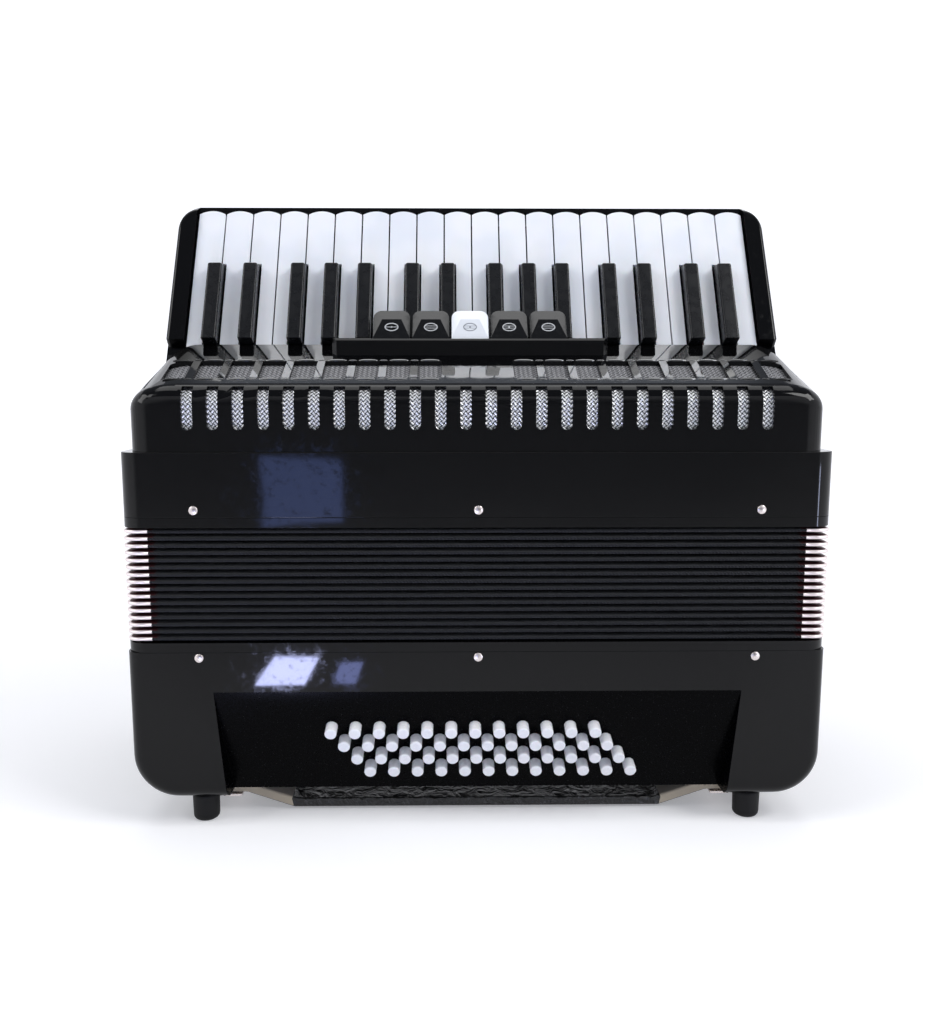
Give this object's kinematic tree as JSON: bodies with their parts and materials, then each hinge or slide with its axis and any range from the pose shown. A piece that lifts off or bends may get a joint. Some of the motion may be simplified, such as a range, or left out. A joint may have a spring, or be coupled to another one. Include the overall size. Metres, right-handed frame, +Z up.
{
  "type": "piano accordion",
  "caption": "Piano accordion standing closed on its feet: keyboard, slotted grille, register tabs, pleated bellows and a bass side with rows of buttons.",
  "frame": {"origin": "on the floor under the feet, at the middle of the overall length and of the overall depth from the bass buttons to the strap lugs", "axes": "+X along the keyboard towards the low notes, +Y from the grille to the player, +Z up from the feet to the key tips"},
  "size_m": [0.427, 0.1984, 0.3922],
  "materials": {
    "black_celluloid": "gloss",
    "white_key_plastic": "gloss",
    "black_key_plastic": "satin",
    "tab_black": "gloss",
    "tab_white": "gloss",
    "nickel": "polished",
    "woven_metal": "satin",
    "reed_wood": "matte",
    "bellows_cloth": "matte",
    "foot_rubber": "matte",
    "strap_leather": "satin",
    "button_white": "gloss"
  },
  "bodies": {
    "bass_side": {"bass_case": "black_celluloid", "bass_end_plate": "black_celluloid", "bass_bellows_frame": "black_celluloid", "bass_reed_block": "reed_wood", "rubber_feet": "foot_rubber", "bass_strap": "strap_leather", "bass_metalwork": "nickel", "bellows": "bellows_cloth"},
    "treble_side": {"treble_case": "black_celluloid", "treble_cover": "black_celluloid", "grille_mesh": "woven_metal", "keyboard_frame": "black_celluloid", "register_housing": "black_celluloid", "treble_reed_block": "reed_wood", "treble_bellows_frame": "black_celluloid", "treble_metalwork": "nickel"},
    "register_tab_1": {"register_tab_1": "tab_black"},
    "register_tab_2": {"register_tab_2": "tab_black"},
    "register_tab_3": {"register_tab_3": "tab_white"},
    "register_tab_4": {"register_tab_4": "tab_black"},
    "register_tab_5": {"register_tab_5": "tab_black"},
    "bass_button_row_1": {"bass_button_row_1": "button_white"},
    "bass_button_row_2": {"bass_button_row_2": "button_white"},
    "bass_button_row_3": {"bass_button_row_3": "button_white"},
    "bass_button_row_4": {"bass_button_row_4": "button_white"},
    "air_button": {"air_button": "nickel"},
    "key_g3": {"key_g3": "white_key_plastic"},
    "key_g3_sharp": {"key_g3_sharp": "black_key_plastic"},
    "key_a3": {"key_a3": "white_key_plastic"},
    "key_a3_sharp": {"key_a3_sharp": "black_key_plastic"},
    "key_b3": {"key_b3": "white_key_plastic"},
    "key_c4": {"key_c4": "white_key_plastic"},
    "key_c4_sharp": {"key_c4_sharp": "black_key_plastic"},
    "key_d4": {"key_d4": "white_key_plastic"},
    "key_d4_sharp": {"key_d4_sharp": "black_key_plastic"},
    "key_e4": {"key_e4": "white_key_plastic"},
    "key_f4": {"key_f4": "white_key_plastic"},
    "key_f4_sharp": {"key_f4_sharp": "black_key_plastic"},
    "key_g4": {"key_g4": "white_key_plastic"},
    "key_g4_sharp": {"key_g4_sharp": "black_key_plastic"},
    "key_a4": {"key_a4": "white_key_plastic"},
    "key_a4_sharp": {"key_a4_sharp": "black_key_plastic"},
    "key_b4": {"key_b4": "white_key_plastic"},
    "key_c5": {"key_c5": "white_key_plastic"},
    "key_c5_sharp": {"key_c5_sharp": "black_key_plastic"},
    "key_d5": {"key_d5": "white_key_plastic"},
    "key_d5_sharp": {"key_d5_sharp": "black_key_plastic"},
    "key_e5": {"key_e5": "white_key_plastic"},
    "key_f5": {"key_f5": "white_key_plastic"},
    "key_f5_sharp": {"key_f5_sharp": "black_key_plastic"},
    "key_g5": {"key_g5": "white_key_plastic"},
    "key_g5_sharp": {"key_g5_sharp": "black_key_plastic"},
    "key_a5": {"key_a5": "white_key_plastic"},
    "key_a5_sharp": {"key_a5_sharp": "black_key_plastic"},
    "key_b5": {"key_b5": "white_key_plastic"},
    "key_c6": {"key_c6": "white_key_plastic"},
    "key_c6_sharp": {"key_c6_sharp": "black_key_plastic"},
    "key_d6": {"key_d6": "white_key_plastic"},
    "key_d6_sharp": {"key_d6_sharp": "black_key_plastic"},
    "key_e6": {"key_e6": "white_key_plastic"}
  },
  "joints": [
    {"name": "bellows_stretch", "type": "slide", "parent": "bass_side", "child": "treble_side", "axis": [0, 0, 1], "range_m": [0, 0.28], "deforming": ["bellows"]},
    {"name": "register_tab_1_press", "type": "hinge", "parent": "treble_side", "child": "register_tab_1", "pos_m": [-0.004, -0.04624, 0.29721], "axis": [-1, 0, 0], "range_deg": [0, 5], "stiffness_Nm_per_rad": 0.05, "springref_deg": -8.59},
    {"name": "register_tab_2_press", "type": "hinge", "parent": "treble_side", "child": "register_tab_2", "pos_m": [-0.004, -0.04624, 0.29721], "axis": [-1, 0, 0], "range_deg": [0, 5], "stiffness_Nm_per_rad": 0.05, "springref_deg": -8.59},
    {"name": "register_tab_3_press", "type": "hinge", "parent": "treble_side", "child": "register_tab_3", "pos_m": [-0.004, -0.04624, 0.29721], "axis": [-1, 0, 0], "range_deg": [0, 5], "stiffness_Nm_per_rad": 0.05, "springref_deg": -8.59},
    {"name": "register_tab_4_press", "type": "hinge", "parent": "treble_side", "child": "register_tab_4", "pos_m": [-0.004, -0.04624, 0.29721], "axis": [-1, 0, 0], "range_deg": [0, 5], "stiffness_Nm_per_rad": 0.05, "springref_deg": -8.59},
    {"name": "register_tab_5_press", "type": "hinge", "parent": "treble_side", "child": "register_tab_5", "pos_m": [-0.004, -0.04624, 0.29721], "axis": [-1, 0, 0], "range_deg": [0, 5], "stiffness_Nm_per_rad": 0.05, "springref_deg": -8.59},
    {"name": "bass_button_row_1_press", "type": "slide", "parent": "bass_side", "child": "bass_button_row_1", "axis": [0, 0.9681, 0.2504], "range_m": [0, 0.004], "stiffness_N_per_m": 400, "springref_m": -0.005},
    {"name": "bass_button_row_2_press", "type": "slide", "parent": "bass_side", "child": "bass_button_row_2", "axis": [0, 0.9681, 0.2504], "range_m": [0, 0.004], "stiffness_N_per_m": 400, "springref_m": -0.005},
    {"name": "bass_button_row_3_press", "type": "slide", "parent": "bass_side", "child": "bass_button_row_3", "axis": [0, 0.9681, 0.2504], "range_m": [0, 0.004], "stiffness_N_per_m": 400, "springref_m": -0.005},
    {"name": "bass_button_row_4_press", "type": "slide", "parent": "bass_side", "child": "bass_button_row_4", "axis": [0, 0.9681, 0.2504], "range_m": [0, 0.004], "stiffness_N_per_m": 400, "springref_m": -0.005},
    {"name": "air_button_press", "type": "slide", "parent": "bass_side", "child": "air_button", "axis": [0, 0, 1], "range_m": [0, 0.004], "stiffness_N_per_m": 300, "springref_m": -0.005},
    {"name": "key_g3_press", "type": "hinge", "parent": "treble_side", "child": "key_g3", "pos_m": [-0.002, -0.02997, 0.28381], "axis": [-1, 0, 0], "range_deg": [0, 3], "stiffness_Nm_per_rad": 0.5, "springref_deg": -5.73},
    {"name": "key_g3_sharp_press", "type": "hinge", "parent": "treble_side", "child": "key_g3_sharp", "pos_m": [-0.002, -0.02997, 0.28381], "axis": [-1, 0, 0], "range_deg": [0, 3], "stiffness_Nm_per_rad": 0.5, "springref_deg": -5.73},
    {"name": "key_a3_press", "type": "hinge", "parent": "treble_side", "child": "key_a3", "pos_m": [-0.002, -0.02997, 0.28381], "axis": [-1, 0, 0], "range_deg": [0, 3], "stiffness_Nm_per_rad": 0.5, "springref_deg": -5.73},
    {"name": "key_a3_sharp_press", "type": "hinge", "parent": "treble_side", "child": "key_a3_sharp", "pos_m": [-0.002, -0.02997, 0.28381], "axis": [-1, 0, 0], "range_deg": [0, 3], "stiffness_Nm_per_rad": 0.5, "springref_deg": -5.73},
    {"name": "key_b3_press", "type": "hinge", "parent": "treble_side", "child": "key_b3", "pos_m": [-0.002, -0.02997, 0.28381], "axis": [-1, 0, 0], "range_deg": [0, 3], "stiffness_Nm_per_rad": 0.5, "springref_deg": -5.73},
    {"name": "key_c4_press", "type": "hinge", "parent": "treble_side", "child": "key_c4", "pos_m": [-0.002, -0.02997, 0.28381], "axis": [-1, 0, 0], "range_deg": [0, 3], "stiffness_Nm_per_rad": 0.5, "springref_deg": -5.73},
    {"name": "key_c4_sharp_press", "type": "hinge", "parent": "treble_side", "child": "key_c4_sharp", "pos_m": [-0.002, -0.02997, 0.28381], "axis": [-1, 0, 0], "range_deg": [0, 3], "stiffness_Nm_per_rad": 0.5, "springref_deg": -5.73},
    {"name": "key_d4_press", "type": "hinge", "parent": "treble_side", "child": "key_d4", "pos_m": [-0.002, -0.02997, 0.28381], "axis": [-1, 0, 0], "range_deg": [0, 3], "stiffness_Nm_per_rad": 0.5, "springref_deg": -5.73},
    {"name": "key_d4_sharp_press", "type": "hinge", "parent": "treble_side", "child": "key_d4_sharp", "pos_m": [-0.002, -0.02997, 0.28381], "axis": [-1, 0, 0], "range_deg": [0, 3], "stiffness_Nm_per_rad": 0.5, "springref_deg": -5.73},
    {"name": "key_e4_press", "type": "hinge", "parent": "treble_side", "child": "key_e4", "pos_m": [-0.002, -0.02997, 0.28381], "axis": [-1, 0, 0], "range_deg": [0, 3], "stiffness_Nm_per_rad": 0.5, "springref_deg": -5.73},
    {"name": "key_f4_press", "type": "hinge", "parent": "treble_side", "child": "key_f4", "pos_m": [-0.002, -0.02997, 0.28381], "axis": [-1, 0, 0], "range_deg": [0, 3], "stiffness_Nm_per_rad": 0.5, "springref_deg": -5.73},
    {"name": "key_f4_sharp_press", "type": "hinge", "parent": "treble_side", "child": "key_f4_sharp", "pos_m": [-0.002, -0.02997, 0.28381], "axis": [-1, 0, 0], "range_deg": [0, 3], "stiffness_Nm_per_rad": 0.5, "springref_deg": -5.73},
    {"name": "key_g4_press", "type": "hinge", "parent": "treble_side", "child": "key_g4", "pos_m": [-0.002, -0.02997, 0.28381], "axis": [-1, 0, 0], "range_deg": [0, 3], "stiffness_Nm_per_rad": 0.5, "springref_deg": -5.73},
    {"name": "key_g4_sharp_press", "type": "hinge", "parent": "treble_side", "child": "key_g4_sharp", "pos_m": [-0.002, -0.02997, 0.28381], "axis": [-1, 0, 0], "range_deg": [0, 3], "stiffness_Nm_per_rad": 0.5, "springref_deg": -5.73},
    {"name": "key_a4_press", "type": "hinge", "parent": "treble_side", "child": "key_a4", "pos_m": [-0.002, -0.02997, 0.28381], "axis": [-1, 0, 0], "range_deg": [0, 3], "stiffness_Nm_per_rad": 0.5, "springref_deg": -5.73},
    {"name": "key_a4_sharp_press", "type": "hinge", "parent": "treble_side", "child": "key_a4_sharp", "pos_m": [-0.002, -0.02997, 0.28381], "axis": [-1, 0, 0], "range_deg": [0, 3], "stiffness_Nm_per_rad": 0.5, "springref_deg": -5.73},
    {"name": "key_b4_press", "type": "hinge", "parent": "treble_side", "child": "key_b4", "pos_m": [-0.002, -0.02997, 0.28381], "axis": [-1, 0, 0], "range_deg": [0, 3], "stiffness_Nm_per_rad": 0.5, "springref_deg": -5.73},
    {"name": "key_c5_press", "type": "hinge", "parent": "treble_side", "child": "key_c5", "pos_m": [-0.002, -0.02997, 0.28381], "axis": [-1, 0, 0], "range_deg": [0, 3], "stiffness_Nm_per_rad": 0.5, "springref_deg": -5.73},
    {"name": "key_c5_sharp_press", "type": "hinge", "parent": "treble_side", "child": "key_c5_sharp", "pos_m": [-0.002, -0.02997, 0.28381], "axis": [-1, 0, 0], "range_deg": [0, 3], "stiffness_Nm_per_rad": 0.5, "springref_deg": -5.73},
    {"name": "key_d5_press", "type": "hinge", "parent": "treble_side", "child": "key_d5", "pos_m": [-0.002, -0.02997, 0.28381], "axis": [-1, 0, 0], "range_deg": [0, 3], "stiffness_Nm_per_rad": 0.5, "springref_deg": -5.73},
    {"name": "key_d5_sharp_press", "type": "hinge", "parent": "treble_side", "child": "key_d5_sharp", "pos_m": [-0.002, -0.02997, 0.28381], "axis": [-1, 0, 0], "range_deg": [0, 3], "stiffness_Nm_per_rad": 0.5, "springref_deg": -5.73},
    {"name": "key_e5_press", "type": "hinge", "parent": "treble_side", "child": "key_e5", "pos_m": [-0.002, -0.02997, 0.28381], "axis": [-1, 0, 0], "range_deg": [0, 3], "stiffness_Nm_per_rad": 0.5, "springref_deg": -5.73},
    {"name": "key_f5_press", "type": "hinge", "parent": "treble_side", "child": "key_f5", "pos_m": [-0.002, -0.02997, 0.28381], "axis": [-1, 0, 0], "range_deg": [0, 3], "stiffness_Nm_per_rad": 0.5, "springref_deg": -5.73},
    {"name": "key_f5_sharp_press", "type": "hinge", "parent": "treble_side", "child": "key_f5_sharp", "pos_m": [-0.002, -0.02997, 0.28381], "axis": [-1, 0, 0], "range_deg": [0, 3], "stiffness_Nm_per_rad": 0.5, "springref_deg": -5.73},
    {"name": "key_g5_press", "type": "hinge", "parent": "treble_side", "child": "key_g5", "pos_m": [-0.002, -0.02997, 0.28381], "axis": [-1, 0, 0], "range_deg": [0, 3], "stiffness_Nm_per_rad": 0.5, "springref_deg": -5.73},
    {"name": "key_g5_sharp_press", "type": "hinge", "parent": "treble_side", "child": "key_g5_sharp", "pos_m": [-0.002, -0.02997, 0.28381], "axis": [-1, 0, 0], "range_deg": [0, 3], "stiffness_Nm_per_rad": 0.5, "springref_deg": -5.73},
    {"name": "key_a5_press", "type": "hinge", "parent": "treble_side", "child": "key_a5", "pos_m": [-0.002, -0.02997, 0.28381], "axis": [-1, 0, 0], "range_deg": [0, 3], "stiffness_Nm_per_rad": 0.5, "springref_deg": -5.73},
    {"name": "key_a5_sharp_press", "type": "hinge", "parent": "treble_side", "child": "key_a5_sharp", "pos_m": [-0.002, -0.02997, 0.28381], "axis": [-1, 0, 0], "range_deg": [0, 3], "stiffness_Nm_per_rad": 0.5, "springref_deg": -5.73},
    {"name": "key_b5_press", "type": "hinge", "parent": "treble_side", "child": "key_b5", "pos_m": [-0.002, -0.02997, 0.28381], "axis": [-1, 0, 0], "range_deg": [0, 3], "stiffness_Nm_per_rad": 0.5, "springref_deg": -5.73},
    {"name": "key_c6_press", "type": "hinge", "parent": "treble_side", "child": "key_c6", "pos_m": [-0.002, -0.02997, 0.28381], "axis": [-1, 0, 0], "range_deg": [0, 3], "stiffness_Nm_per_rad": 0.5, "springref_deg": -5.73},
    {"name": "key_c6_sharp_press", "type": "hinge", "parent": "treble_side", "child": "key_c6_sharp", "pos_m": [-0.002, -0.02997, 0.28381], "axis": [-1, 0, 0], "range_deg": [0, 3], "stiffness_Nm_per_rad": 0.5, "springref_deg": -5.73},
    {"name": "key_d6_press", "type": "hinge", "parent": "treble_side", "child": "key_d6", "pos_m": [-0.002, -0.02997, 0.28381], "axis": [-1, 0, 0], "range_deg": [0, 3], "stiffness_Nm_per_rad": 0.5, "springref_deg": -5.73},
    {"name": "key_d6_sharp_press", "type": "hinge", "parent": "treble_side", "child": "key_d6_sharp", "pos_m": [-0.002, -0.02997, 0.28381], "axis": [-1, 0, 0], "range_deg": [0, 3], "stiffness_Nm_per_rad": 0.5, "springref_deg": -5.73},
    {"name": "key_e6_press", "type": "hinge", "parent": "treble_side", "child": "key_e6", "pos_m": [-0.002, -0.02997, 0.28381], "axis": [-1, 0, 0], "range_deg": [0, 3], "stiffness_Nm_per_rad": 0.5, "springref_deg": -5.73}
  ]
}
